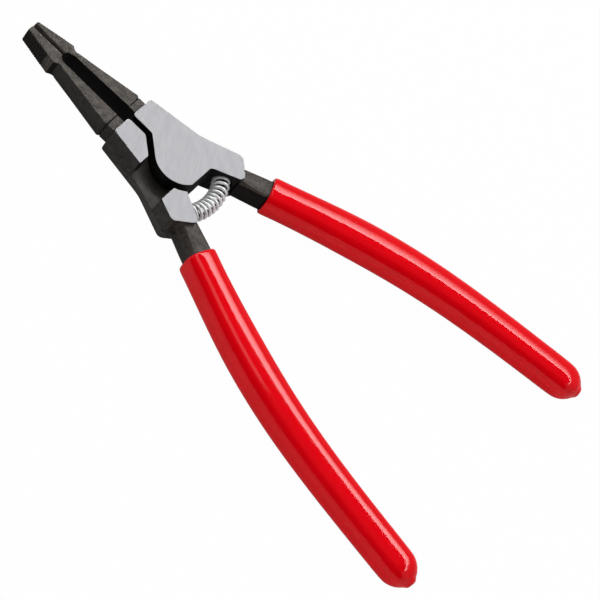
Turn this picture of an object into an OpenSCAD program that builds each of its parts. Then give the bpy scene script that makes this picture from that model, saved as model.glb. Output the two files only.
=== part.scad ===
// Circlip pliers for external rings, straight tips, lap joint with an opening spring.
// X runs along the tool to the jaw tips, Z along the pivot, and the origin is on the pivot
// axis at the polished back face. Both levers are one forging: the front lever is the back
// lever turned half a turn about X through the middle of the joint.

/* [Joint] */
// Thickness over the two polished faces
head_t = 8.7; // [8:0.1:10]
// Working gap between the two half-lap plates
lap_gap = 0.1; // [0.06:0.02:0.2]
// Radius of the round end of each joint plate
disc_r = 7.3; // [6.5:0.1:7.8]
// Free ring between a plate and the other lever's pads
disc_gap = 2; // [1.6:0.1:2.4]
// How far a plate's front edge stays back from the middle of the tool
plate_setback = 0.15; // [0.1:0.05:0.4]
// Distance from the pivot to the front wall of the joint
head_front = 17.5; // [16.5:0.1:19]
// Half width of the joint at its front wall
head_front_w = 8.4; // [7.8:0.1:9]
// Distance from the pivot to the waist of the outer edge
waist_x = 1.6; // [0:0.1:3]
// Half width at the waist
waist_w = 11.3; // [10.8:0.1:12]
// Distance from the pivot back to the outer rear corner
heel_x = 10; // [9.5:0.1:11]
// Half width at the outer rear corner
heel_w = 16.9; // [16.3:0.1:17.4]
// Distance from the pivot back to the inner rear corner
rear_x = 14.7; // [14.4:0.1:15.4]
// Half width at the inner rear corner
rear_w = 11.8; // [11.4:0.1:12.4]
// How much the flat behind the pivot takes off the round plate end
plate_cut = 0.7; // [0.3:0.1:1.2]
// Rear edge of the front pad, ahead of the pivot
front_pad_x = 6.6; // [6:0.1:7.4]
// Front edge of the rear pad, behind the pivot
rear_pad_x = 4.1; // [3.6:0.1:5]
// Forging draft at the front end, face to parting line
draft_front = 0.7; // [0.3:0.1:1]
// Forging draft at the waist
draft_waist = 1.8; // [0.8:0.1:2]
// Forging draft at the outer rear corner
draft_heel = 1.6; // [0.6:0.1:1.8]
// Forging draft of the flat behind the pivot
draft_flat = 0.8; // [0.3:0.1:0.9]

/* [Rivet] */
// Shank diameter
rivet_d = 6; // [5:0.1:7]
// Diameter of the countersunk heads
rivet_head_d = 8.6; // [8:0.1:10]
// Depth of the countersunk heads
rivet_head_h = 1.2; // [0.8:0.1:1.6]
// Radial running clearance round the rivet
rivet_fit = 0.04; // [0.02:0.01:0.08]

/* [Jaws] */
// Distance from the pivot to the tip
tip_x = 52.7; // [50:0.1:58]
// Length of the thick tip block
tip_l = 11; // [9:0.1:13]
// Half width at the tip, outside
tip_w = 2.1; // [1.7:0.05:2.4]
// Half width at the rear of the tip block, outside
tip_rear_w = 4.7; // [4.2:0.05:4.9]
// Half of the gap left between the closed tips
tip_gap = 0.3; // [0.2:0.05:0.5]
// Bevel on one inner edge of each tip, at its end
tip_bevel = 0.95; // [0.5:0.05:1.1]
// Thickness at the tip
tip_t = 4.8; // [4.4:0.1:5.2]
// Half width of the shank behind the tip block
shank_w = 3.95; // [3.7:0.05:4.1]
// Half width of the jaw at its root
jaw_root_w = 7.8; // [7.2:0.1:8]
// Thickness of the jaw at its root
jaw_root_t = 5.8; // [5.4:0.1:6.2]
// Half width of the hollow between the jaws at its front end
hollow_front = 2.1; // [1.8:0.1:2.3]
// Half width of the hollow between the jaws at the root
hollow_root = 2.5; // [2.3:0.1:2.7]
// Hollow of the outer edge of the shank
shank_sag = 0.4; // [0:0.1:1]
// Length of the relief behind the tip block
relief_l = 2.6; // [2:0.1:4]
// Depth of the relief behind the tip block
relief_depth = 0.5; // [0.2:0.05:0.6]
// Length of the neck between jaw and joint
neck_l = 2.6; // [2:0.1:3.5]
// Depth of the neck on its two faces
neck_depth = 0.1; // [0.05:0.05:0.3]
// Depth of the neck on its outside
neck_side = 0.5; // [0.2:0.05:0.8]
// Depth of the grooves at both ends of the neck, at the outside
neck_corner = 0.35; // [0.2:0.05:0.5]

/* [Legs] */
// Leg centre line at the joint, behind the pivot
leg_root_x = 12; // [11.5:0.1:13]
// Leg centre line at the joint, off the middle
leg_root_y = 12.1; // [11.8:0.1:12.6]
// Angle between leg and tool axis at the joint
leg_angle = 26.6; // [24:0.2:29]
// Where the end of the handle lies, behind the pivot
handle_end_x = 118; // [110:0.5:130]
// Where the end of the handle lies, off the middle
handle_end_y = 44.7; // [41:0.1:48]
// Angle between leg and tool axis at the end
end_angle = 8.8; // [5:0.2:12]
// Pull of the front straight on the bend
bend_front = 51.5; // [45:0.5:54]
// Pull of the rear straight on the bend
bend_rear = 49; // [44:0.5:52]
// Leg width where it leaves the joint
leg_root_w = 6.4; // [5.6:0.1:6.8]
// Leg thickness where it leaves the joint
leg_root_t = 6.8; // [6:0.1:7.2]
// Leg width where the sleeve starts
leg_front_w = 7.5; // [7:0.1:8]
// Leg thickness where the sleeve starts
leg_front_t = 6.9; // [6.4:0.1:7.2]
// Leg width at its broadest
leg_mid_w = 8.8; // [8:0.1:9.6]
// Leg thickness at its broadest
leg_mid_t = 7.2; // [6.6:0.1:7.6]
// Leg width at the end
leg_end_w = 7.7; // [7:0.1:8.6]
// Leg thickness at the end
leg_end_t = 6.7; // [6:0.1:7.2]

/* [Grips] */
// Bare leg between joint and sleeve
bare_leg = 10.9; // [9:0.1:14]
// Sleeve thickness on the sides
sleeve_side = 1.15; // [0.9:0.05:1.6]
// Sleeve thickness on the faces
sleeve_face = 1.15; // [0.9:0.05:1.5]
// Length of solid sleeve past the end of the leg
sleeve_end = 3.5; // [2.5:0.1:5]
// Length of the rounded sleeve end
dome_l = 6; // [4:0.1:7]
// Length of the rounded lip where the sleeve starts
lip_l = 0.7; // [0.4:0.1:1.2]
// Lean of the sleeve's front edge, as a share of its width
lip_lean = 0.1; // [0:0.02:0.2]
// Width of the drop that the coating sets in at its end
nub_w = 3.6; // [3:0.1:4]
// How far the drop stands past the round end
nub_out = 0.45; // [0.2:0.05:0.8]
// Space between leg and sleeve
sleeve_fit = 0.03; // [0.02:0.01:0.06]

/* [Spring] */
// Coil outside diameter
spring_od = 5.2; // [4.6:0.1:5.6]
// Wire diameter
wire_d = 0.9; // [0.6:0.05:0.95]
// Free turns between the walls
free_turns = 11; // [8:1:12]
// Close turns in each pocket
pocket_turns = 2.5; // [2:0.5:3]
// Radial room for the spring in its pocket
pocket_fit = 0.3; // [0.2:0.05:0.4]
// Room between the spring's end and the floor of the pocket
floor_fit = 0.1; // [0.05:0.05:0.2]
// Depth of the pockets
pocket_depth = 3; // [2.6:0.1:3.6]
// Angle between spring wall and tool axis
wall_angle = 30.3; // [29:0.1:31.5]
// Where the two spring walls would meet, ahead of the pivot
wall_apex_x = 3.45; // [3:0.05:4]
// How far the spring walls stop short of the inner rear corner
wall_step = 0.6; // [0.3:0.1:1]
// Radius of the spring's bend
spring_bend = 16.5; // [16:0.1:17.4]

/* [Hidden] */
$fn = 96;

half_t = head_t / 2;
lap_z = lap_gap / 2;
pad_r = disc_r + disc_gap;
pad_edge_y = disc_gap - plate_setback;
plate_flat = disc_r - plate_cut;
wall_end_x = rear_x - wall_step;
bore_r = rivet_d / 2 + rivet_fit;
sink_r = rivet_head_d / 2 + rivet_fit;
through = 1;
plate_slope = 45;
edge_r = 0.9;
pad_round = 0.7;
flat_end_y = -0.6;
hub = [0.5, 4];
waist_r = 14;
heel_r = 1.8;
rear_r = 0.9;
inner_r = 1.2;
tip_rear = tip_x - tip_l;
jaw_root = head_front + neck_l;
handle_sides = 24;
handle_steps = 20;
leg_square = [5, 3];
sleeve_square = 3;
broadest_at = 0.34;
ridge = 0.25;
shoulder = 0.25;
shoulder_side = 0.8;
corner_l = 0.25;
root_inset = 0.2;
shank_bevel = 0.1;
block_bevel = 0.45;
relief_steps = [0.3, 0.55, 0.75, 0.9, 1];
dome_angles = [18, 36, 52, 65];
lip_step = 0.4;
dome_square = 2.2;
coil_steps = 14;
wire_sides = 6;
steel_black = [0.17, 0.165, 0.16];
steel_bright = [0.78, 0.79, 0.8];
pvc_red = [0.8, 0.03, 0.04];

// Vectors, arcs and rounded outlines
function mix(a, b, t) = a + (b - a) * t;
function unit(v) = v / norm(v);
function smooth(t) = let (c = min(1, max(0, t))) c * c * (3 - 2 * c);
function short_turn(a) = a > 180 ? a - 360 : a < -180 ? a + 360 : a;
function arc(r, a0, a1, steps) = [for (i = [0:steps]) let (a = mix(a0, a1, i / steps)) r * [cos(a), sin(a)]];

function fillet(before, at, after, r, steps = 5) =
    r == 0 ? [at] :
    let (u = unit(before - at), v = unit(after - at), half = acos(u * v) / 2)
    let (c = at + unit(u + v) * r / sin(half), reach = r / tan(half))
    let (p = at + u * reach - c, q = at + v * reach - c)
    let (a0 = atan2(p[1], p[0]), turn = short_turn(atan2(q[1], q[0]) - a0))
    [for (i = [0:steps]) c + r * [cos(a0 + turn * i / steps), sin(a0 + turn * i / steps)]];

// Corners are [point, radius], in order round the outline
function outline(corners) =
    let (n = len(corners))
    [for (i = [0:n - 1])
        each fillet(corners[(i + n - 1) % n][0], corners[i][0], corners[(i + 1) % n][0], corners[i][1])];

function lift(points, z) = [for (p = points) [p[0], p[1], z]];
function sharp(points) = [for (p = points) [p, 0]];

// Closed skin over rings of equally many points, with ends that fan out from their first
// point, or from a hub where the outline has hollows
module skin(rings, hub = undef) {
    n = len(rings[0]);
    last = len(rings) - 1;
    points = [for (r = rings) each r];
    hubs = is_undef(hub) ? [] : [for (r = [rings[0], rings[last]]) [hub[0], hub[1], r[0][2]]];
    bottom = is_undef(hub) ? [for (j = [1:n - 2]) [0, j, j + 1]] :
        [for (j = [0:n - 1]) [j, (j + 1) % n, len(points)]];
    top = is_undef(hub) ? [for (j = [1:n - 2]) [last * n, last * n + j + 1, last * n + j]] :
        [for (j = [0:n - 1]) [last * n + (j + 1) % n, last * n + j, len(points) + 1]];
    sides = [for (i = [0:last - 1], j = [0:n - 1])
        let (k = (j + 1) % n)
        each [[i * n + j, (i + 1) * n + j, (i + 1) * n + k], [i * n + j, (i + 1) * n + k, i * n + k]]];
    polyhedron(concat(points, hubs), concat(bottom, top, sides));
}

// Outer edge of the forging: draft 0 at a polished face, 1 at the parting line
function front_corner(draft) = [head_front, head_front_w + draft * draft_front];
function waist(draft) = [waist_x, waist_w + draft * draft_waist];
function heel(draft) = [-heel_x - draft * draft_heel / 3, heel_w + draft * draft_heel];
function flat_x(draft) = -plate_flat - draft * draft_flat;
function wall_y(x) = (wall_apex_x - x) * tan(wall_angle);

// The sloping edge that leaves a circle of radius r at plate_slope, on the side of the pads
function slope_x(r, y) = (r - y * sin(plate_slope)) / cos(plate_slope);
function slope_y(r, x) = (r - x * cos(plate_slope)) / sin(plate_slope);

// Whole outline of the joint, with the plate's round end across the middle
function joint_outline(draft) = outline(concat(
    [[[head_front, plate_setback], edge_r], [front_corner(draft), edge_r], [waist(draft), waist_r],
     [heel(draft), heel_r], [[-rear_x, rear_w], rear_r], [[-wall_end_x, wall_y(-wall_end_x)], 0],
     [[flat_x(draft), wall_y(flat_x(draft))], inner_r], [[flat_x(draft), flat_end_y], 0]],
    sharp(arc(disc_r, 180 + acos(plate_flat / disc_r), 360 - plate_slope, 16)),
    [[[slope_x(disc_r, -plate_setback), plate_setback], inner_r]]));

// Recess that takes the other lever's plate, and leaves a pad at each end
recess_outline = outline(concat(
    [[[head_front + through, pad_edge_y + pad_round], 0]],
    sharp([for (p = arc(pad_round, 0, -90, 4)) [head_front - pad_round, pad_edge_y + pad_round] + p]),
    [[[slope_x(pad_r, pad_edge_y), pad_edge_y], inner_r],
     [[front_pad_x, slope_y(pad_r, front_pad_x)], edge_r],
     [[front_pad_x, heel_w], 0], [[-rear_pad_x, heel_w], 0]],
    sharp(arc(pad_r, 180 - acos(rear_pad_x / pad_r), 180 - wall_angle, 6)),
    [[[-pad_r, 0], 0], [[-pad_r, -pad_r], 0], [[head_front + through, -pad_r], 0]]));

module joint() {
    difference() {
        skin([lift(joint_outline(0), -half_t), lift(joint_outline(1), 0), lift(joint_outline(0), half_t)], hub);
        translate([0, 0, -lap_z])
            linear_extrude(half_t + lap_z + through)
                polygon(recess_outline);
    }
}

// Jaw sections across X: inner face, two flat faces that may dip to the outside, parting ridge
function jaw_ring(x, inner, outer, half, bevel, dip = 0) = [
    [x, inner, half], [x, inner, bevel - half], [x, inner + bevel, -half], [x, outer, dip - half],
    [x, outer + ridge, 0], [x, outer, half - dip]];
function jaw_half(x) = mix(jaw_root_t, tip_t, (x - jaw_root) / (tip_x - jaw_root)) / 2;
function shank_outer(x) =
    let (t = (x - jaw_root) / (relief_x - jaw_root))
    mix(jaw_root_w, shank_w, t) - shank_sag * t * (1 - t);
function hollow(x) = mix(hollow_root, hollow_front, (x - jaw_root) / (relief_x - jaw_root));

// Behind the tip block the outside dips in, and the hollow ends in a round corner
relief_x = tip_rear - relief_l;
function relief_outer(s) = mix(shank_w, tip_rear_w, pow(s, 4)) - relief_depth * sin(180 * s) * (1 - s);
function relief_inner(s) = mix(tip_gap, hollow_front, sqrt(1 - s * s));

module jaw() {
    shank_steps = 6;
    tip_steps = 3;
    neck_w = jaw_root_w - neck_side;
    rise_x = jaw_root + shoulder;
    neck = [for (p = [[head_front - through, 1], [head_front, 1], [head_front + corner_l, 0],
                      [jaw_root - corner_l, 0], [jaw_root, 1]])
        jaw_ring(p[0], hollow_root, neck_w, jaw_half(jaw_root) - neck_depth, shank_bevel, p[1] * neck_corner)];
    rise = [jaw_ring(rise_x, hollow(rise_x), neck_w, jaw_half(rise_x), shank_bevel)];
    shank = [for (i = [0:shank_steps])
        let (x = mix(jaw_root + shoulder_side, relief_x, i / shank_steps))
        jaw_ring(x, hollow(x), shank_outer(x), jaw_half(x), shank_bevel)];
    relief = [for (s = relief_steps)
        let (x = mix(relief_x, tip_rear, s))
        jaw_ring(x, relief_inner(s), relief_outer(s), jaw_half(x), mix(shank_bevel, block_bevel, s))];
    tip = [for (i = [1:tip_steps])
        let (t = i / tip_steps, x = mix(tip_rear, tip_x, t))
        jaw_ring(x, tip_gap, mix(tip_rear_w, tip_w, t), jaw_half(x), mix(block_bevel, tip_bevel, t))];
    skin(concat(neck, rise, shank, relief, tip));
}

// Centre line of leg and sleeve: a straight, a bend and a slighter curve to the end
leg_root = [-leg_root_x, leg_root_y];
handle_end = [-handle_end_x, handle_end_y];
front_pull = leg_root + bend_front * [-cos(leg_angle), sin(leg_angle)];
rear_pull = handle_end + bend_rear * [cos(end_angle), -sin(end_angle)];
function line_at(t) =
    pow(1 - t, 3) * leg_root + 3 * t * pow(1 - t, 2) * front_pull
    + 3 * t * t * (1 - t) * rear_pull + pow(t, 3) * handle_end;
function heading(t) = unit(
    pow(1 - t, 2) * (front_pull - leg_root) + 2 * t * (1 - t) * (rear_pull - front_pull)
    + t * t * (handle_end - rear_pull));
front_pace = 3 * bend_front;
rear_pace = 3 * bend_rear;
sleeve_at = bare_leg / front_pace;
dome_at = 1 - dome_l / rear_pace;
leg_end_at = 1 - (sleeve_end + dome_l / 2) / rear_pace;
stations = [0, sleeve_at, broadest_at, 1];
function swell(sizes, t) =
    let (k = t < stations[1] ? 0 : t < stations[2] ? 1 : 2)
    mix(sizes[k], sizes[k + 1], smooth((t - stations[k]) / (stations[k + 1] - stations[k])));
function leg_half(t) = [
    swell([leg_root_w, leg_front_w, leg_mid_w, leg_end_w], t),
    swell([leg_root_t, leg_front_t, leg_mid_t, leg_end_t], t)] / 2;
function sleeve_half(t) = leg_half(t) + [sleeve_side, sleeve_face];

// Rounded section across the handle, square 2 is an ellipse and higher is boxier; a pair of
// them is for the inner and the outer side
function handle_ring(t, half, square, slide = 0, lean = 0) =
    let (c = line_at(t), d = heading(t), s = [-d[1], d[0]])
    [for (i = [0:handle_sides - 1])
        let (a = 360 * (i + 0.5) / handle_sides)
        let (k = 2 / (is_list(square) ? square[cos(a) > 0 ? 0 : 1] : square))
        let (u = half[0] * sign(cos(a)) * pow(abs(cos(a)), k))
        let (w = half[1] * sign(sin(a)) * pow(abs(sin(a)), k))
        let (p = c + s * u + d * (slide - lean * u))
        [p[0], p[1], w]];

// The root of the leg stays behind the spring wall
module leg() {
    root_end = wall_end_x + root_inset;
    difference() {
        skin([for (i = [0:handle_steps])
            let (t = leg_end_at * i / handle_steps)
            handle_ring(t, leg_half(t), leg_square)]);
        translate([0, 0, -half_t])
            linear_extrude(head_t)
                polygon([[-heel_x, wall_y(-heel_x) + root_inset], [-root_end, wall_y(-root_end) + root_inset],
                         [-root_end, 0], [-heel_x, 0]]);
    }
}

// One forged lever, lying on the +Y side with its plate below and its pads above
module forging() {
    difference() {
        union() {
            joint();
            jaw();
            leg();
        }
        translate([0, 0, -half_t - through])
            cylinder(r = bore_r, h = head_t);
        translate([0, 0, -half_t])
            cylinder(r1 = sink_r, r2 = bore_r, h = rivet_head_h);
        translate([wall_apex_x, 0, 0])
            rotate([0, 0, 180 - wall_angle])
                translate([spring_bend, through, 0])
                    rotate([90, 0, 0])
                        cylinder(d = spring_od + 2 * pocket_fit, h = pocket_depth + through);
    }
}

module back_lever() {
    color(steel_black)
        translate([0, 0, half_t])
            forging();
}

module front_lever() {
    color(steel_black)
        translate([0, 0, half_t])
            rotate([180, 0, 0])
                forging();
}

// Rivet peened into both countersinks and ground flush
module pivot_rivet() {
    color(steel_bright)
        rotate_extrude()
            polygon([[0, 0], [rivet_head_d / 2, 0], [rivet_d / 2, rivet_head_h],
                     [rivet_d / 2, head_t - rivet_head_h], [rivet_head_d / 2, head_t], [0, head_t]]);
}

// Sleeve skin: up the inside of the leg's pocket, round the lip, down the outside, over the dome
module sleeve() {
    fit = [sleeve_fit, sleeve_fit];
    wall = [sleeve_side, sleeve_face];
    lip_end = sleeve_at + lip_l / front_pace;
    inner = [for (i = [handle_steps:-1:0])
        let (t = mix(sleeve_at, leg_end_at, i / handle_steps))
        handle_ring(t, leg_half(t) + fit, leg_square, i == handle_steps ? sleeve_fit : 0, i == 0 ? lip_lean : 0)];
    lip = [for (a = [0:30:90])
        let (t = mix(lip_end, sleeve_at, cos(a)))
        handle_ring(t, sleeve_half(t) - wall * lip_step * (1 - sin(a)), sleeve_square, 0, lip_lean)];
    outer = [for (i = [1:handle_steps])
        let (t = mix(lip_end, dome_at, i / handle_steps))
        handle_ring(t, sleeve_half(t), sleeve_square)];
    dome = [for (a = dome_angles)
        let (round_off = mix(sleeve_square, dome_square, sin(a)))
        handle_ring(mix(dome_at, 1, sin(a)), sleeve_half(1) * cos(a), round_off)];
    nub = [for (p = [[-0.4, 1], [0.3, 0.85], [0.8, 0.6], [1, 0.3]])
        handle_ring(1, [nub_w, nub_w] / 2 * p[1], 2, nub_out * p[0])];
    skin(concat(inner, lip, outer, dome, nub));
}

module back_grip() {
    color(pvc_red)
        translate([0, 0, half_t])
            sleeve();
}

module front_grip() {
    color(pvc_red)
        translate([0, 0, half_t])
            rotate([180, 0, 0])
                sleeve();
}

// Spring centre line: straight in one pocket, an arc from wall to wall, straight in the other
straight_l = pocket_depth - floor_fit - wire_d / 2;
arc_l = spring_bend * 2 * wall_angle * PI / 180;
spring_l = arc_l + 2 * straight_l;
coil_r = (spring_od - wire_d) / 2;
all_turns = free_turns + 2 * pocket_turns;
function bend_angle(s) = min(1, max(0, (s - straight_l) / arc_l)) * 2 * wall_angle - wall_angle;
function spring_out(s) = let (a = bend_angle(s)) [-cos(a), sin(a)];
function spring_ahead(s) = let (a = bend_angle(s)) [sin(a), cos(a)];
function spring_mid(s) =
    [wall_apex_x, 0] + spring_bend * spring_out(s)
    + (min(0, s - straight_l) + max(0, s - straight_l - arc_l)) * spring_ahead(s);
function coil_s(turn) =
    turn < pocket_turns ? straight_l * turn / pocket_turns :
    turn > all_turns - pocket_turns ? spring_l - straight_l * (all_turns - turn) / pocket_turns :
    straight_l + arc_l * (turn - pocket_turns) / free_turns;
function wire_ring(turn) =
    let (s = coil_s(turn), o = spring_out(s), f = spring_ahead(s), m = spring_mid(s))
    let (r = [o[0] * cos(360 * turn), o[1] * cos(360 * turn), sin(360 * turn)])
    [for (i = [0:wire_sides - 1])
        let (a = -360 * i / wire_sides)
        [m[0], m[1], half_t] + (coil_r + wire_d / 2 * cos(a)) * r + wire_d / 2 * sin(a) * [f[0], f[1], 0]];

module opening_spring() {
    color(steel_bright)
        skin([for (i = [0:all_turns * coil_steps]) wire_ring(i / coil_steps)]);
}

front_lever();
back_lever();
pivot_rivet();
opening_spring();
front_grip();
back_grip();
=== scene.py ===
import math

import bmesh
import bpy
from mathutils import Matrix, Vector


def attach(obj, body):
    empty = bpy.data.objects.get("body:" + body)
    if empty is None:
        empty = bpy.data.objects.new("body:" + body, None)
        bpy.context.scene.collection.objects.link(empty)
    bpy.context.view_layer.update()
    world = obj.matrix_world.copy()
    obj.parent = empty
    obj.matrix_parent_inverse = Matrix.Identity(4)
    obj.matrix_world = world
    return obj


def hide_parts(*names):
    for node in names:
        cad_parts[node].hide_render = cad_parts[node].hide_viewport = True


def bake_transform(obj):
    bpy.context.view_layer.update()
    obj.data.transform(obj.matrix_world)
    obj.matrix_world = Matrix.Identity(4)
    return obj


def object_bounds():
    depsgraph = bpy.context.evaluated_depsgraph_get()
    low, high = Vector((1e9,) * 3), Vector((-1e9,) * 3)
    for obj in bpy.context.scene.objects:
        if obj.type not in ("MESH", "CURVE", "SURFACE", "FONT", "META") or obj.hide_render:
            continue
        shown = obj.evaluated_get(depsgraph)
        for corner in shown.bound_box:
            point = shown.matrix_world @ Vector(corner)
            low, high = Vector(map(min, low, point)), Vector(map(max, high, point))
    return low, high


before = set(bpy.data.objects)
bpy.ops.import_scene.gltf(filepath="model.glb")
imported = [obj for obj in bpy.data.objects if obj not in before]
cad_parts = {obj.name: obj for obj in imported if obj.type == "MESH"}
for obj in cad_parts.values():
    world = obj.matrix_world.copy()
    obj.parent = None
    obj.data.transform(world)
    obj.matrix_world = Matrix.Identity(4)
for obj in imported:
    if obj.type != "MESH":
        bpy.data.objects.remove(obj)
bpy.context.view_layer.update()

# Levers
# Two drop-forged carbon steel levers from one die: jaw, half-lap plate and leg in one piece.
# The scale is tumbled smooth and oil-blackened, the joint faces are ground bright on a belt,
# and the outer faces of the tips are knurled so that a ring can't slide off them.
MM = 0.001
HEAD_T = 8.7 * MM
MID_Z = HEAD_T / 2
TIP_X = 52.7 * MM
TIP_REAR_X = 41.7 * MM
SEAM_R = 4.34 * MM
HEAD_R = 4.315 * MM

# The leg follows one curve, pulled straight on from its root and from the handle's end. Near each
# end it covers a pace of so many millimetres for a whole share of its length.
LEG_ROOT = Vector((-12.0, 12.1, 0)) * MM
HANDLE_END = Vector((-118.0, 44.7, 0)) * MM
LEG_TURN, END_TURN = math.radians(26.6), math.radians(8.8)
ROOT_REACH, END_REACH = 51.5, 49.0
ROOT_PULL = LEG_ROOT + ROOT_REACH * MM * Vector((-math.cos(LEG_TURN), math.sin(LEG_TURN), 0))
END_PULL = HANDLE_END + END_REACH * MM * Vector((math.cos(END_TURN), -math.sin(END_TURN), 0))
ROOT_PACE, END_PACE = 3 * ROOT_REACH, 3 * END_REACH

# Widths and depths in millimetres at the root, at the sleeve's mouth, at the swell and at the end.
# A section's squareness is 2 for an ellipse, and more for a squarer one.
SLEEVE_AT = 10.9 / ROOT_PACE
STATIONS = (0.0, SLEEVE_AT, 0.34, 1.0)
LEG_WIDTHS = (6.4, 7.5, 8.8, 7.7)
LEG_DEPTHS = (6.8, 6.9, 7.2, 6.7)
SOLID_SQUARE = 3.0
ROLLED_SQUARE = 2.75


def linear(code):
    """An sRGB hex colour as linear red, green, blue and alpha."""
    parts = [int(code[i:i + 2], 16) / 255 for i in (1, 3, 5)]
    return [p / 12.92 if p <= 0.04045 else ((p + 0.055) / 1.055) ** 2.4 for p in parts] + [1.0]


def add_node(tree, kind, inputs=(), stops=(), **settings):
    """Adds a node: inputs give its sockets a value or a link, stops are a ramp's places and
    hex colours, and settings are its properties."""
    node = tree.nodes.new(kind)
    for name, value in settings.items():
        setattr(node, name, value)
    for i, (at, code) in enumerate(stops):
        node.color_ramp.elements[i].position = at
        node.color_ramp.elements[i].color = linear(code)
    for name, value in dict(inputs).items():
        if isinstance(value, bpy.types.NodeSocket):
            tree.links.new(value, node.inputs[name])
        else:
            node.inputs[name].default_value = value
    return node


def start_material(name, sockets):
    """A new material with these values on its Principled shader."""
    finish = bpy.data.materials.new(name)
    finish.use_nodes = True
    shader = finish.node_tree.nodes["Principled BSDF"]
    for socket, value in sockets.items():
        shader.inputs[socket].default_value = value
    return finish, finish.node_tree, shader


# Oil-blackened forging scale, tumbled: a warm black oxide skin with a dull sheen, blotched where
# the oil dried thicker and finely pitted. Faces that point up or down get painted light and the
# sides painted shade, so the flat faces show paler than the sides.
black_steel, tree, shader = start_material(
    "oil_blackened_forged_steel", {"Metallic": 0.0, "IOR": 1.6, "Specular IOR Level": 0.27}
)
lookup = add_node(tree, "ShaderNodeTexCoord").outputs
place = lookup["Object"]
blotch = add_node(
    tree, "ShaderNodeTexNoise", {"Vector": place, "Scale": 1 / (1.6 * MM), "Detail": 4.0}
).outputs["Fac"]
pits = add_node(
    tree, "ShaderNodeTexNoise", {"Vector": place, "Scale": 1 / (0.45 * MM), "Detail": 2.0}
).outputs["Fac"]
mottle = add_node(
    tree, "ShaderNodeMix", {"Factor": 0.5, "A": blotch, "B": pits}, data_type="FLOAT"
).outputs["Result"]
tone = add_node(
    tree, "ShaderNodeValToRGB", {"Fac": mottle}, stops=((0.36, "#1d1915"), (0.64, "#4d453d"))
).outputs["Color"]
# Painted light and shade: faces turned up or down keep the full tone, sides darken towards #0d0907.
facing = add_node(tree, "ShaderNodeSeparateXYZ", {"Vector": lookup["Normal"]}).outputs["Z"]
flat = add_node(tree, "ShaderNodeMath", {0: facing}, operation="ABSOLUTE").outputs["Value"]
top_light_side_shade = add_node(
    tree, "ShaderNodeMapRange",
    {"Value": flat, "From Min": 0.12, "From Max": 0.62, "To Min": 0.22, "To Max": 1.0},
    name="top_light_side_shade",
).outputs["Result"]
side_shaded_tone = add_node(
    tree, "ShaderNodeMix", {"Factor": top_light_side_shade, "A": linear("#0d0907"), "B": tone}, data_type="RGBA"
).outputs["Result"]
tree.links.new(side_shaded_tone, shader.inputs["Base Color"])
sheen = add_node(
    tree, "ShaderNodeMapRange",
    {"Value": mottle, "From Min": 0.3, "From Max": 0.7, "To Min": 0.6, "To Max": 0.38},
).outputs["Result"]
tree.links.new(sheen, shader.inputs["Roughness"])
dents = add_node(
    tree, "ShaderNodeBump", {"Height": blotch, "Strength": 0.6, "Distance": 0.06 * MM}
).outputs["Normal"]
skin = add_node(
    tree, "ShaderNodeBump",
    {"Height": pits, "Normal": dents, "Strength": 0.6, "Distance": 0.04 * MM},
).outputs["Normal"]
tree.links.new(skin, shader.inputs["Normal"])

# The flanks of the tips behind the knurl are filed to shape before the blackening, and are paler:
# they get little of the painted side shade.
filed_steel = black_steel.copy()
filed_steel.name = "filed_black_steel"
filed_steel.node_tree.nodes["top_light_side_shade"].inputs["To Min"].default_value = 0.9

# The floor of the half lap is milled before the blackening; it faces up but is painted dark, as
# painted shade for the recess it lies in.
lap_floor_shade_steel = black_steel.copy()
lap_floor_shade_steel.name = "lap_floor_shaded_black_steel"
lap_floor_shade_steel.node_tree.nodes["top_light_side_shade"].inputs["To Max"].default_value = 0.18

# Painted shade: the walls between the levers, the grooves of the neck and the steps behind the
# tips are painted matt near black, for the shade that falls in these hollows.
painted_hollow_shade, tree, shader = start_material(
    "matt_painted_hollow_shade", {"IOR": 1.6, "Specular IOR Level": 0.12}
)
place = add_node(tree, "ShaderNodeTexCoord").outputs["Object"]
flakes = add_node(
    tree, "ShaderNodeTexNoise", {"Vector": place, "Scale": 1 / (0.8 * MM), "Detail": 3.0}
).outputs["Fac"]
tone = add_node(
    tree, "ShaderNodeValToRGB", {"Fac": flakes}, stops=((0.35, "#070605"), (0.7, "#13100e"))
).outputs["Color"]
tree.links.new(tone, shader.inputs["Base Color"])
sheen = add_node(
    tree, "ShaderNodeMapRange", {"Value": flakes, "To Min": 0.5, "To Max": 0.7}
).outputs["Result"]
tree.links.new(sheen, shader.inputs["Roughness"])

# The knurl: the tips of its teeth are painted grey, for their wear and as a painted highlight, and
# the grooves between them are painted black, as painted shade.
knurled_steel, tree, shader = start_material(
    "knurled_black_steel", {"IOR": 1.6, "Specular IOR Level": 0.03, "Roughness": 0.5}
)
height = add_node(tree, "ShaderNodeAttribute", attribute_name="tooth").outputs["Fac"]
tone = add_node(
    tree, "ShaderNodeValToRGB", {"Fac": height}, stops=((0.6, "#020202"), (1.0, "#4d4843"))
).outputs["Color"]
tree.links.new(tone, shader.inputs["Base Color"])

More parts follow.
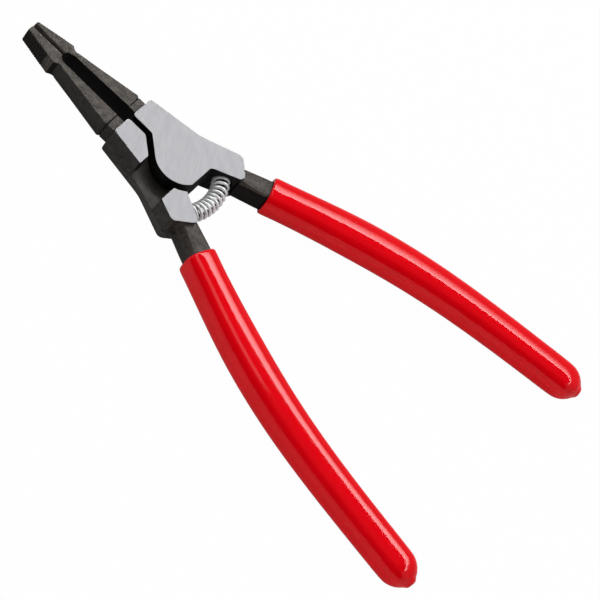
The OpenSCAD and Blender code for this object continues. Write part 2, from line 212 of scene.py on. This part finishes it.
# Belt-ground steel: bright grey metal with faint scratches across the joint and cloudy patches
# between them. The real scratches are some 0.05 mm wide, and are drawn 0.5 mm wide to show.
ground_steel, tree, shader = start_material("belt_ground_steel", {"Metallic": 1.0})
SCRATCH_TURN, SCRATCH_SIZE = math.radians(-67), (8 * MM, 0.5 * MM, 5 * MM)
PATCH_TURN, PATCH_SIZE = math.radians(-50), (6 * MM, 2.2 * MM, 5 * MM)
place = add_node(tree, "ShaderNodeTexCoord").outputs["Object"]
along = add_node(
    tree, "ShaderNodeMapping",
    {"Vector": place, "Rotation": (0, 0, SCRATCH_TURN), "Scale": SCRATCH_SIZE},
    vector_type="TEXTURE",
).outputs["Vector"]
scratches = add_node(
    tree, "ShaderNodeTexNoise", {"Vector": along, "Scale": 1.0, "Detail": 4.0, "Distortion": 0.6}
).outputs["Fac"]
drift = add_node(
    tree, "ShaderNodeMapping",
    {"Vector": place, "Rotation": (0, 0, PATCH_TURN), "Scale": PATCH_SIZE},
    vector_type="TEXTURE",
).outputs["Vector"]
patches = add_node(
    tree, "ShaderNodeTexNoise", {"Vector": drift, "Scale": 1.0, "Detail": 2.0}
).outputs["Fac"]
grind = add_node(
    tree, "ShaderNodeMix", {"Factor": 0.5, "A": scratches, "B": patches}, data_type="FLOAT"
).outputs["Result"]
tone = add_node(
    tree, "ShaderNodeValToRGB", {"Fac": grind}, stops=((0.36, "#9b9b9e"), (0.64, "#a6a6a9"))
).outputs["Color"]
tree.links.new(tone, shader.inputs["Base Color"])
sheen = add_node(
    tree, "ShaderNodeMapRange",
    {"Value": grind, "From Min": 0.3, "From Max": 0.7, "To Min": 0.53, "To Max": 0.59},
).outputs["Result"]
tree.links.new(sheen, shader.inputs["Roughness"])
relief = add_node(
    tree, "ShaderNodeBump", {"Height": scratches, "Strength": 0.2, "Distance": 0.01 * MM}
).outputs["Normal"]
tree.links.new(relief, shader.inputs["Normal"])

FINISHES = [black_steel, ground_steel, knurled_steel, painted_hollow_shade, filed_steel, lap_floor_shade_steel]
BLACK, GROUND, KNURLED, HOLLOW_SHADED, FILED, LAP_SHADED = range(len(FINISHES))


def near_ground_face(face, depth):
    """True on the two ground faces and on the small rounding at their edges."""
    z = face.calc_center_median().z
    lean = 0.25
    return (z > HEAD_T - depth and face.normal.z > lean) or (z < depth and face.normal.z < -lean)


def leg_line(t):
    """Middle of the leg at a share of its length, the way along it and the way to the other leg."""
    r = 1 - t
    here = (
        r ** 3 * LEG_ROOT + 3 * t * r * r * ROOT_PULL + 3 * t * t * r * END_PULL
        + t ** 3 * HANDLE_END
    )
    ahead = (
        r * r * (ROOT_PULL - LEG_ROOT) + 2 * t * r * (END_PULL - ROOT_PULL)
        + t * t * (HANDLE_END - END_PULL)
    ).normalized()
    return here, ahead, Vector((-ahead.y, ahead.x, 0))


def leg_half(t, sizes):
    """Half the leg's width or depth at a share of its length, in metres."""
    k = 0 if t < STATIONS[1] else 1 if t < STATIONS[2] else 2
    s = (t - STATIONS[k]) / (STATIONS[k + 1] - STATIONS[k])
    return (sizes[k] + (sizes[k + 1] - sizes[k]) * s * s * (3 - 2 * s)) * MM / 2


def leg_share(point):
    """The share of the leg's length that a point lies beside, found by halving."""
    low, high, halvings = 0.0, 1.0, 24
    for _ in range(halvings):
        t = (low + high) / 2
        here, ahead = leg_line(t)[:2]
        if (point - here).dot(ahead) > 0:
            low = t
        else:
            high = t
    return t


def roll_leg(bm):
    """Splits the bare leg's facets finer, and rolls its outer side rounder than in the solid."""
    root_x, full_x, hidden_x = -12.5 * MM, -15.5 * MM, -27.0 * MM
    coarse, slant, cuts = 0.6 * MM, 0.5, 3
    outer_from, skin_depth = 0.02, 0.05
    root_way = leg_line(0)[1]
    hoops = []
    for e in bm.edges:
        first, last = (v.co for v in e.verts)
        bare = all(hidden_x < c.x < root_x for c in (first, last))
        across = abs((last - first).normalized().dot(root_way)) < slant
        if bare and across and e.calc_length() > coarse:
            hoops.append(e)
    bmesh.ops.subdivide_edges(bm, edges=hoops, cuts=cuts, use_grid_fill=True)
    for v in bm.verts:
        if v.co.x > root_x:
            continue
        t = leg_share(v.co)
        here, _, inner = leg_line(t)
        wide, deep = leg_half(t, LEG_WIDTHS), leg_half(t, LEG_DEPTHS)
        u = -(v.co - here).dot(inner) / wide
        w = (v.co.z - MID_Z) / deep
        if u < outer_from:
            continue
        shell = (u ** SOLID_SQUARE + abs(w) ** SOLID_SQUARE) ** (1 / SOLID_SQUARE)
        if abs(shell - 1) > skin_depth:
            continue
        u, w = u / shell, w / shell
        rolled = min(1, (root_x - v.co.x) / (root_x - full_x))
        power = SOLID_SQUARE / (SOLID_SQUARE + (ROLLED_SQUARE - SOLID_SQUARE) * rolled)
        side = here - inner * wide * u ** power
        rise = math.copysign(abs(w) ** power, w) * deep
        v.co = (side.x, side.y, MID_Z + rise)


def round_edges(bm):
    """Rounds the forged edges off, and just breaks those of the ground faces and of the neck."""
    crisp = math.radians(25)
    rivet_seat = 5.5 * MM
    neck_rear, neck_front = 17.3 * MM, 20.6 * MM
    forged_round, broken_edge, flush = 0.2 * MM, 0.07 * MM, 0.01 * MM
    for in_ground, rounding in ((False, forged_round), (True, broken_edge)):
        edges = []
        for e in bm.edges:
            if not (e.is_manifold and e.is_convex and e.calc_face_angle(0) > crisp):
                continue
            if min(v.co.xy.length for v in e.verts) < rivet_seat:
                continue
            fine = any(near_ground_face(f, flush) for f in e.link_faces)
            fine = fine or any(neck_rear < v.co.x < neck_front for v in e.verts)
            if fine == in_ground:
                edges.append(e)
        bmesh.ops.bevel(
            bm, geom=edges, offset=rounding, offset_type="OFFSET", affect="EDGES", segments=2,
            profile=0.5, material=-1, clamp_overlap=False,
        )


def smear_seam(bm):
    """Draws the rim of each countersink in to the rivet's head, as the grinding belt does."""
    flush, rim = 0.01 * MM, 0.02 * MM
    for v in bm.verts:
        reach = v.co.xy.length
        on_ground = abs(abs(v.co.z - MID_Z) - MID_Z) < flush
        if on_ground and abs(reach - SEAM_R) < rim:
            v.co.xy *= HEAD_R / reach


def mark_finishes(bm):
    """Gives each face of the forging its finish, and paints shade on the hollows and the lap's
    floor.
    """
    ground_depth = 0.08 * MM
    recess_z, flush = MID_Z - 0.05 * MM, 0.01 * MM
    neck_grooves = ((17.45 * MM, 17.8 * MM), (19.8 * MM, 20.4 * MM))
    joint_rear, joint_front = -14 * MM, 17 * MM
    step_rear, step_front = 38 * MM, 42.5 * MM
    flank_rear = 41 * MM
    for face in bm.faces:
        face.smooth = True
        middle = face.calc_center_median()
        ends = [v.co.x for v in face.verts]
        upright = abs(face.normal.z) < 0.6
        in_joint = joint_rear < middle.x < joint_front
        inner_wall = upright and face.normal.y < -0.45 and middle.x < flank_rear
        joint_wall = in_joint and abs(face.normal.z) < 0.3 and face.normal.y < 0.3
        groove = any(low < min(ends) and max(ends) < high for low, high in neck_grooves)
        tip_step = upright and face.normal.x < -0.3 and step_rear < middle.x < step_front
        if near_ground_face(face, ground_depth):
            face.material_index = GROUND
        # The half lap's floor: painted shade.
        elif face.normal.z > 0.9 and abs(middle.z - recess_z) < flush:
            face.material_index = LAP_SHADED
        # Walls between the levers, neck grooves and tip steps: painted shade.
        elif inner_wall or joint_wall or groove or tip_step:
            face.material_index = HOLLOW_SHADED
        elif middle.x > flank_rear and face.normal.y > 0.5:
            face.material_index = FILED
        else:
            face.material_index = BLACK


def press_knurl(bm):
    """Sets rows of small pyramids on the tip's outer face, sunk into it by a skirt all round."""
    tooth = bm.verts.layers.float.new("tooth")
    rear_x, front_x, width = 44.3 * MM, 52.5 * MM, 4.5 * MM
    pitch, peak, valley = 0.74 * MM, 0.17 * MM, -0.01 * MM
    rear_half, half_loss, covered = 2.57, 0.17, 0.93
    rear_outer, outer_loss, crown = 4.7, 2.6, 0.25
    skirt = 0.8 * MM
    rows = round(2 * (front_x - rear_x) / pitch)
    lines = round(2 * width / pitch)
    grid = bmesh.ops.create_grid(bm, x_segments=rows, y_segments=lines, size=0.5)["verts"]
    for v in grid:
        i = round((v.co.x + 0.5) * rows)
        j = round((v.co.y + 0.5) * lines)
        crest = (i + j) % 2
        x = rear_x + (front_x - rear_x) * i / rows
        taper = (x - TIP_REAR_X) / (TIP_X - TIP_REAR_X)
        half = (rear_half - half_loss * taper) * MM
        across = (2 * j / lines - 1) * covered
        outer = (rear_outer - outer_loss * taper + crown * (1 - abs(across))) * MM
        # Crests take the grey of the painted highlight, grooves the black of the painted shade.
        v[tooth] = float(crest)
        v.co = (x, outer + (peak if crest else valley), MID_Z + half * across)
    border = [e for e in bm.edges if e.is_boundary]
    for grown in bmesh.ops.extrude_edge_only(bm, edges=border)["geom"]:
        if isinstance(grown, bmesh.types.BMVert):
            grown.co.y -= skirt
    bmesh.ops.contextual_create(bm, geom=[e for e in bm.edges if e.is_boundary])
    patch = [f for f in bm.faces if not f.smooth]
    for face in patch:
        face.material_index = KNURLED
    bmesh.ops.recalc_face_normals(bm, faces=patch)


def settle(bm, name):
    """The finished shape as a mesh."""
    mesh = bpy.data.meshes.new(name)
    bm.to_mesh(mesh)
    bm.free()
    return mesh


def forge_lever():
    """The back lever: a copy of its solid, made clean, rounded off, ground and knurled."""
    weld, sliver, nearly_flat = 0.002 * MM, 0.06 * MM, math.radians(1)
    bm = bmesh.new()
    bm.from_mesh(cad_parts["back_lever"].data)
    bmesh.ops.remove_doubles(bm, verts=bm.verts[:], dist=weld)
    bmesh.ops.dissolve_limit(bm, angle_limit=nearly_flat, verts=bm.verts[:], edges=bm.edges[:])
    bmesh.ops.remove_doubles(bm, verts=bm.verts[:], dist=sliver)
    roll_leg(bm)
    round_edges(bm)
    smear_seam(bm)
    mark_finishes(bm)
    press_knurl(bm)
    return settle(bm, "forging")


def show(mesh, name, finishes):
    """An object of this mesh in the scene, at the origin, with these materials."""
    for finish in finishes:
        mesh.materials.append(finish)
    obj = bpy.data.objects.new(name, mesh)
    bpy.context.scene.collection.objects.link(obj)
    return obj


# The front lever is the back one, turned half a turn about the tool's long axis.
turn_over = (
    Matrix.Translation((0, 0, MID_Z)) @ Matrix.Rotation(math.pi, 4, "X")
    @ Matrix.Translation((0, 0, -MID_Z))
)
forging = forge_lever()
forging.set_sharp_from_angle(angle=math.radians(35))
for side in ("back", "front"):
    mesh = forging.copy()
    if side == "front":
        mesh.transform(turn_over)
    lever = show(mesh, side + "_forging", FINISHES)
    even = lever.modifiers.new("even_shading", "WEIGHTED_NORMAL")
    even.keep_sharp = True
    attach(lever, side + "_half")
    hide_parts(side + "_lever")
bpy.data.meshes.remove(forging)

# Rivet
# A mild steel rivet through both plates, peened into their countersinks. It is ground off flush
# on the same belt as the joint, and the belt smears its seam shut.
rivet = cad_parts["pivot_rivet"]
rivet.data.materials.clear()
rivet.data.materials.append(ground_steel)

# Opening spring
# A coil of bright zinc-plated spring wire, bent to an arc between the levers' rear walls.
# Its last turns sit in a drilled pocket in each wall, and it pushes the handles apart.
WIRE_R = 0.45 * MM
COIL_R = 2.15 * MM
BEND_R = 16.5 * MM
BEND_X = 3.45 * MM
WALL_TURN = math.radians(30.3)
STRAIGHT = 2.45 * MM
POCKET_TURNS = 2.5
FREE_TURNS = 11
EASED = 0.09
EASE_POWER = 4.5
WIRE_SIDES = 10
TURN_STEPS = 24

# Bright zinc, clouded by handling, with painted shade darkening the inside of the turns.
plated_wire, tree, shader = start_material("zinc_plated_spring_wire", {"Metallic": 0.35})
place = add_node(tree, "ShaderNodeTexCoord").outputs["Object"]
cloud = add_node(
    tree, "ShaderNodeTexNoise", {"Vector": place, "Scale": 1 / (0.5 * MM), "Detail": 2.0}
).outputs["Fac"]
tone = add_node(
    tree, "ShaderNodeValToRGB", {"Fac": cloud}, stops=((0.3, "#f0f2f4"), (0.7, "#ffffff"))
).outputs["Color"]
inward = add_node(tree, "ShaderNodeAttribute", attribute_name="inward").outputs["Fac"]
# Painted shade on the inside of the turns.
inside_shade = add_node(
    tree, "ShaderNodeMapRange", {"Value": inward, "From Min": 0.5, "From Max": 0.85}
).outputs["Result"]
inside_shaded_tone = add_node(
    tree, "ShaderNodeMix", {"Factor": inside_shade, "A": tone, "B": linear("#484a4c")}, data_type="RGBA"
).outputs["Result"]
tree.links.new(inside_shaded_tone, shader.inputs["Base Color"])
sheen = add_node(
    tree, "ShaderNodeMapRange", {"Value": cloud, "To Min": 0.16, "To Max": 0.26}
).outputs["Result"]
tree.links.new(sheen, shader.inputs["Roughness"])


def coil_frame(turn):
    """Middle of the coil, the way out of the bend and the way along it after so many turns.

    The free turns lie a little further apart towards the front lever."""
    arc = BEND_R * 2 * WALL_TURN
    if turn < POCKET_TURNS:
        s = STRAIGHT * (turn / POCKET_TURNS - 1)
    elif turn > POCKET_TURNS + FREE_TURNS:
        s = arc + STRAIGHT * (turn - POCKET_TURNS - FREE_TURNS) / POCKET_TURNS
    else:
        left = 1 - (turn - POCKET_TURNS) / FREE_TURNS
        s = arc * (1 - (1 - EASED) * left - EASED * left ** EASE_POWER)
    angle = min(max(s, 0), arc) / BEND_R - WALL_TURN
    out = Vector((-math.cos(angle), math.sin(angle), 0))
    ahead = Vector((math.sin(angle), math.cos(angle), 0))
    past = min(s, 0) + max(s - arc, 0)
    return Vector((BEND_X, 0, MID_Z)) + BEND_R * out + past * ahead, out, ahead


def start_ring(bm, sides):
    """The first ring of a drawn-out piece, and the layer that numbers the points round it."""
    number = bm.verts.layers.int.new("number")
    ring = bmesh.ops.create_circle(bm, segments=sides, radius=MM)["verts"]
    for i, v in enumerate(ring):
        v[number] = i
    return ring, number


def next_ring(bm, ring):
    """Draws the piece out from its last ring to a new one."""
    edges = {e for v in ring for e in v.link_edges if e.is_boundary or not e.link_faces}
    grown = bmesh.ops.extrude_edge_only(bm, edges=list(edges))["geom"]
    return [g for g in grown if isinstance(g, bmesh.types.BMVert)]


def close_ends(bm):
    """Caps both ends of a drawn-out piece and points its faces outwards."""
    bmesh.ops.holes_fill(bm, edges=bm.edges[:], sides=0)
    bmesh.ops.recalc_face_normals(bm, faces=bm.faces[:])


def wind_spring():
    """The wire's round section led along the coil."""
    bm = bmesh.new()
    inward = bm.verts.layers.float.new("inward")
    ring, number = start_ring(bm, WIRE_SIDES)
    steps = int((FREE_TURNS + 2 * POCKET_TURNS) * TURN_STEPS)
    for step in range(steps + 1):
        if step:
            ring = next_ring(bm, ring)
        turn = step / TURN_STEPS
        middle, out, ahead = coil_frame(turn)
        arm = out * math.cos(math.tau * turn) + Vector((0, 0, math.sin(math.tau * turn)))
        for v in ring:
            a = math.tau * v[number] / WIRE_SIDES
            # 1 on the inside of the coil, where the painted shade darkens the wire.
            v[inward] = 0.5 - 0.5 * math.cos(a)
            v.co = middle + arm * (COIL_R + WIRE_R * math.cos(a)) + ahead * WIRE_R * math.sin(a)
    close_ends(bm)
    for face in bm.faces:
        face.smooth = len(face.verts) == 4
    return settle(bm, "coil")


spring = show(wind_spring(), "coiled_wire", [plated_wire])
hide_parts("opening_spring")
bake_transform(spring)

# Grips
# A glossy red PVC coat on each leg: the hot steel is dipped end first in liquid plastisol and
# baked. The coat thins out at its front lip, and its last drop sets as a small nub at the end.
LEG_END_AT = 1 - 6.5 / END_PACE
DOME_AT = 1 - 6.0 / END_PACE
COAT = 1.09 * MM
FIT = 0.03 * MM
SLEEVE_SIDES = 48
BORE_SQUARE = (5.0, ROLLED_SQUARE)
MOUTH_SQUARE = (3.2, 3.2)
BODY_SQUARE = (3.0, 3.0)
DROP_SQUARE = (2.0, 2.0)
MOUTH_LEAN = 0.1

# Plastisol sets smooth and glossy, with slow waves where the liquid ran before it gelled.
red_pvc, tree, shader = start_material("dipped_red_pvc", {"IOR": 1.5, "Specular IOR Level": 0.22})
place = add_node(tree, "ShaderNodeTexCoord").outputs["Object"]
run = add_node(
    tree, "ShaderNodeTexNoise", {"Vector": place, "Scale": 1 / (6.0 * MM), "Detail": 1.0}
).outputs["Fac"]
dust = add_node(
    tree, "ShaderNodeTexNoise", {"Vector": place, "Scale": 1 / (0.6 * MM), "Detail": 2.0}
).outputs["Fac"]
tone = add_node(
    tree, "ShaderNodeValToRGB", {"Fac": run}, stops=((0.3, "#f00212"), (0.7, "#f60314"))
).outputs["Color"]
tree.links.new(tone, shader.inputs["Base Color"])
sheen = add_node(
    tree, "ShaderNodeMapRange", {"Value": dust, "To Min": 0.05, "To Max": 0.09}
).outputs["Result"]
tree.links.new(sheen, shader.inputs["Roughness"])
wave = add_node(
    tree, "ShaderNodeBump", {"Height": run, "Strength": 0.04, "Distance": 0.12 * MM}
).outputs["Normal"]
tree.links.new(wave, shader.inputs["Normal"])


def lay_ring(ring, number, t, grow, square, lean=0.0, shrink=1.0, slide=0.0):
    """Lays a ring across the handle, grown so far outside the leg.

    It has one squareness on its inner side and one on its outer side, and may lean, shrink or
    slide along the handle."""
    here, ahead, side = leg_line(t)
    wide = (leg_half(t, LEG_WIDTHS) + grow) * shrink
    deep = (leg_half(t, LEG_DEPTHS) + grow) * shrink
    for v in ring:
        a = math.tau * (v[number] + 0.5) / SLEEVE_SIDES
        c, s = math.cos(a), math.sin(a)
        power = 2 / (square[0] if c > 0 else square[1])
        u = wide * math.copysign(abs(c) ** power, c)
        w = deep * math.copysign(abs(s) ** power, s)
        v.co = here + side * u + ahead * (slide - lean * u) + Vector((0, 0, MID_Z + w))


def plan_sleeve():
    """The rings of a sleeve: up the bore, round the lip, along the outside and over the end."""
    rings = []
    bore_steps, body_steps, body_start = 10, 18, 5.0
    dome_turns, rounder = (15, 30, 42, 54, 62), 0.8
    for i in range(bore_steps + 1):
        t = LEG_END_AT + (SLEEVE_AT - LEG_END_AT) * i / bore_steps
        lean = MOUTH_LEAN if i == bore_steps else 0.0
        rings.append({"t": t, "grow": FIT, "square": BORE_SQUARE, "lean": lean})
    lip = ((0.0, 0.3), (0.0, 0.62), (0.18, 0.84), (0.45, 0.94), (1.0, 0.99), (2.5, 1.0))
    for back, share in lip:
        t = SLEEVE_AT + back / ROOT_PACE
        rings.append({"t": t, "grow": COAT * share, "square": MOUTH_SQUARE, "lean": MOUTH_LEAN})
    body_at = SLEEVE_AT + body_start / ROOT_PACE
    for i in range(body_steps + 1):
        t = body_at + (DOME_AT - body_at) * i / body_steps
        rings.append({"t": t, "grow": COAT, "square": BODY_SQUARE})
    for turn in dome_turns:
        rise, fall = math.sin(math.radians(turn)), math.cos(math.radians(turn))
        boxy = BODY_SQUARE[0] - rounder * rise
        t = DOME_AT + (1 - DOME_AT) * rise
        rings.append({"t": t, "grow": COAT, "square": (boxy, boxy), "shrink": fall})
    drop = ((-0.36, 0.4), (-0.1, 0.36), (0.18, 0.3), (0.36, 0.2), (0.4, 0.08))
    for past, share in drop:
        rings.append(
            {"t": 1.0, "grow": COAT, "square": DROP_SQUARE, "shrink": share, "slide": past * MM}
        )
    return rings


def dip_sleeve():
    """The back sleeve, drawn out through its rings."""
    bm = bmesh.new()
    ring, number = start_ring(bm, SLEEVE_SIDES)
    for step, spot in enumerate(plan_sleeve()):
        if step:
            ring = next_ring(bm, ring)
        lay_ring(ring, number, **spot)
    close_ends(bm)
    for face in bm.faces:
        face.smooth = True
    return settle(bm, "sleeve")


sleeve = dip_sleeve()
for side in ("back", "front"):
    mesh = sleeve.copy()
    if side == "front":
        mesh.transform(turn_over)
    grip = show(mesh, side + "_sleeve", [red_pvc])
    soft = grip.modifiers.new("smooth_coat", "SUBSURF")
    soft.levels = soft.render_levels = 1
    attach(grip, side + "_half")
    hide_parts(side + "_grip")
bpy.data.meshes.remove(sleeve)

# Floor and light
# A white laminate table in a white room, with a large soft box behind the tool, a low one in front
# of it and a small one over the jaws. Glowing sheets hung round the table are seen only in
# reflections, as painted reflections: dark in front and overhead, grey at the sides, and behind
# with a bright glowing band along the top.
TABLE_SIZE = 6.0
TABLE_DROP = 0.02 * MM
SEEN_WHITE = 0.985
GLOSS_WHITE = 0.13
ROOM_FILL = 0.26
CLOTH_AWAY = 1.6
BAND_LOW, BAND_HIGH = 41, 51

floor_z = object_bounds()[0].z
bm = bmesh.new()
bmesh.ops.create_grid(bm, x_segments=1, y_segments=1, size=TABLE_SIZE)
bmesh.ops.translate(bm, verts=bm.verts[:], vec=(0, 0, floor_z - TABLE_DROP))
mesh = settle(bm, "table")


def bare_nodes(holder):
    """The emptied node tree of a material or world."""
    holder.use_nodes = True
    holder.node_tree.nodes.clear()
    return holder.node_tree


# White laminate: plain white to the eye and greyer in the gloss, matt where light and shadow fall.
white_table = bpy.data.materials.new("white_table_laminate")
tree = bare_nodes(white_table)
path = add_node(tree, "ShaderNodeLightPath").outputs
seen = add_node(
    tree, "ShaderNodeMath", {0: path["Is Camera Ray"], 1: path["Is Transmission Ray"]},
    operation="MAXIMUM",
).outputs["Value"]
white = add_node(
    tree, "ShaderNodeMath", {0: seen, 1: SEEN_WHITE}, operation="MULTIPLY"
).outputs["Value"]
mirrored = add_node(
    tree, "ShaderNodeMath", {0: path["Is Glossy Ray"], 1: GLOSS_WHITE}, operation="MULTIPLY"
).outputs["Value"]
share = add_node(
    tree, "ShaderNodeMath", {0: white, 1: mirrored}, operation="MAXIMUM"
).outputs["Value"]
matt = add_node(tree, "ShaderNodeBsdfDiffuse", {"Color": linear("#dcdcdc")}).outputs["BSDF"]
glow = add_node(
    tree, "ShaderNodeEmission", {"Color": linear("#ffffff"), "Strength": 1.0}
).outputs["Emission"]
both = add_node(tree, "ShaderNodeMixShader", {0: share, 1: matt, 2: glow}).outputs["Shader"]
add_node(tree, "ShaderNodeOutputMaterial", {"Surface": both})
table = show(mesh, "table", [white_table])

room = bpy.data.worlds.new("white_room")
bpy.context.scene.world = room
tree = bare_nodes(room)
path = add_node(tree, "ShaderNodeLightPath").outputs
seen = add_node(
    tree, "ShaderNodeMath", {0: path["Is Camera Ray"], 1: path["Is Transmission Ray"]},
    operation="MAXIMUM",
).outputs["Value"]
seen = add_node(
    tree, "ShaderNodeMath", {0: seen, 1: path["Is Glossy Ray"]}, operation="MAXIMUM"
).outputs["Value"]
level = add_node(
    tree, "ShaderNodeMapRange", {"Value": seen, "To Min": ROOM_FILL, "To Max": 1.0}
).outputs["Result"]
sky = add_node(tree, "ShaderNodeBackground", {"Color": linear("#ffffff"), "Strength": level})
add_node(tree, "ShaderNodeOutputWorld", {"Surface": sky.outputs["Background"]})


def direction(azimuth, elevation):
    """The way from the tool to a place so many degrees round it and above the table."""
    a, e = math.radians(azimuth), math.radians(elevation)
    return Vector((math.cos(a) * math.cos(e), math.sin(a) * math.cos(e), math.sin(e)))


def hang_light(name, size, away, azimuth, elevation, watts, in_gloss=True):
    """A rectangular lamp at a distance from the tool, turned to it."""
    lamp = bpy.data.lights.new(name, "AREA")
    lamp.shape = "RECTANGLE"
    lamp.size, lamp.size_y = size
    lamp.energy = watts
    obj = bpy.data.objects.new(name, lamp)
    bpy.context.scene.collection.objects.link(obj)
    middle = Vector((-40 * MM, 0, 0))
    towards = direction(azimuth, elevation)
    turn = towards.to_track_quat("Z", "Y")
    obj.matrix_world = Matrix.Translation(middle + away * towards) @ turn.to_matrix().to_4x4()
    obj.visible_glossy = in_gloss


hang_light(
    "back_softbox", size=(1.6, 0.6), away=1.5, azimuth=-90, elevation=52, watts=17.0,
    in_gloss=False,
)
hang_light("jaw_softbox", size=(0.5, 0.5), away=1.3, azimuth=-20, elevation=68, watts=1.6)
hang_light(
    "low_fill", size=(1.6, 0.4), away=1.6, azimuth=90, elevation=12, watts=4.8, in_gloss=False
)


def hang_glowing_sheet(name, low, high, turns, bottom, top):
    """A glowing sheet bent round the tool, graded from bottom to top: a painted reflection, seen
    only in gloss.
    """
    bm = bmesh.new()
    bmesh.ops.create_grid(bm, x_segments=24, y_segments=12, size=0.5)
    for v in bm.verts:
        azimuth = turns[0] + (turns[1] - turns[0]) * (v.co.x + 0.5)
        elevation = low + (high - low) * (v.co.y + 0.5)
        v.co = CLOTH_AWAY * direction(azimuth, elevation)
    mesh = settle(bm, name)
    cloth = bpy.data.materials.new(name + "_reflection_glow")
    tree = bare_nodes(cloth)
    place = add_node(tree, "ShaderNodeTexCoord").outputs["Object"]
    height = add_node(tree, "ShaderNodeSeparateXYZ", {"Vector": place}).outputs["Z"]
    span = {
        "Value": height, "From Min": CLOTH_AWAY * math.sin(math.radians(low)),
        "From Max": CLOTH_AWAY * math.sin(math.radians(high)), "To Min": bottom, "To Max": top,
    }
    level = add_node(
        tree, "ShaderNodeMapRange", span, interpolation_type="SMOOTHSTEP"
    ).outputs["Result"]
    glow = add_node(
        tree, "ShaderNodeEmission", {"Color": linear("#ffffff"), "Strength": level}
    ).outputs["Emission"]
    add_node(tree, "ShaderNodeOutputMaterial", {"Surface": glow})
    obj = show(mesh, name, [cloth])
    obj.visible_camera = False
    obj.visible_diffuse = False
    obj.visible_transmission = False
    obj.visible_shadow = False


# Glowing sheets: painted reflections, seen only in gloss.
hang_glowing_sheet("front_flag", low=0, high=BAND_HIGH, turns=(30, 150), bottom=0.0, top=0.0)
hang_glowing_sheet("left_cloth", low=0, high=BAND_HIGH, turns=(150, 190), bottom=0.6, top=0.6)
hang_glowing_sheet("right_cloth", low=0, high=BAND_HIGH, turns=(-10, 30), bottom=0.6, top=0.6)
hang_glowing_sheet("ceiling_flag", low=BAND_HIGH, high=90, turns=(0, 360), bottom=0.0, top=0.15)
hang_glowing_sheet("lower_backdrop", low=0, high=BAND_LOW, turns=(-170, -10), bottom=0.35, top=0.35)
hang_glowing_sheet("lit_backdrop", low=BAND_LOW, high=BAND_HIGH, turns=(-170, -10), bottom=0.35, top=15.0)

# Camera
# It stands over the handles on the back lever's side and is rolled, as the photograph is.
# Its place and its three ways were fitted to the photograph at the tool's real length.
RIGHT = Vector((-0.71676072, -0.52928474, 0.45399531))
DOWN = Vector((-0.69670203, 0.516174, -0.49816733))
FORWARD = Vector((0.02933179, -0.67336623, -0.73872699))
STAND_AT = (-0.070738, 0.535631, 0.589950)
eye = bpy.data.cameras.new("camera")
eye.lens = 182.268
eye.sensor_width = 36
camera = bpy.data.objects.new("camera", eye)
bpy.context.scene.collection.objects.link(camera)
stand = Matrix((RIGHT, -DOWN, -FORWARD)).transposed().to_4x4()
stand.translation = STAND_AT
camera.matrix_world = stand
bpy.context.scene.camera = camera
bpy.context.scene.view_settings.view_transform = "Standard"
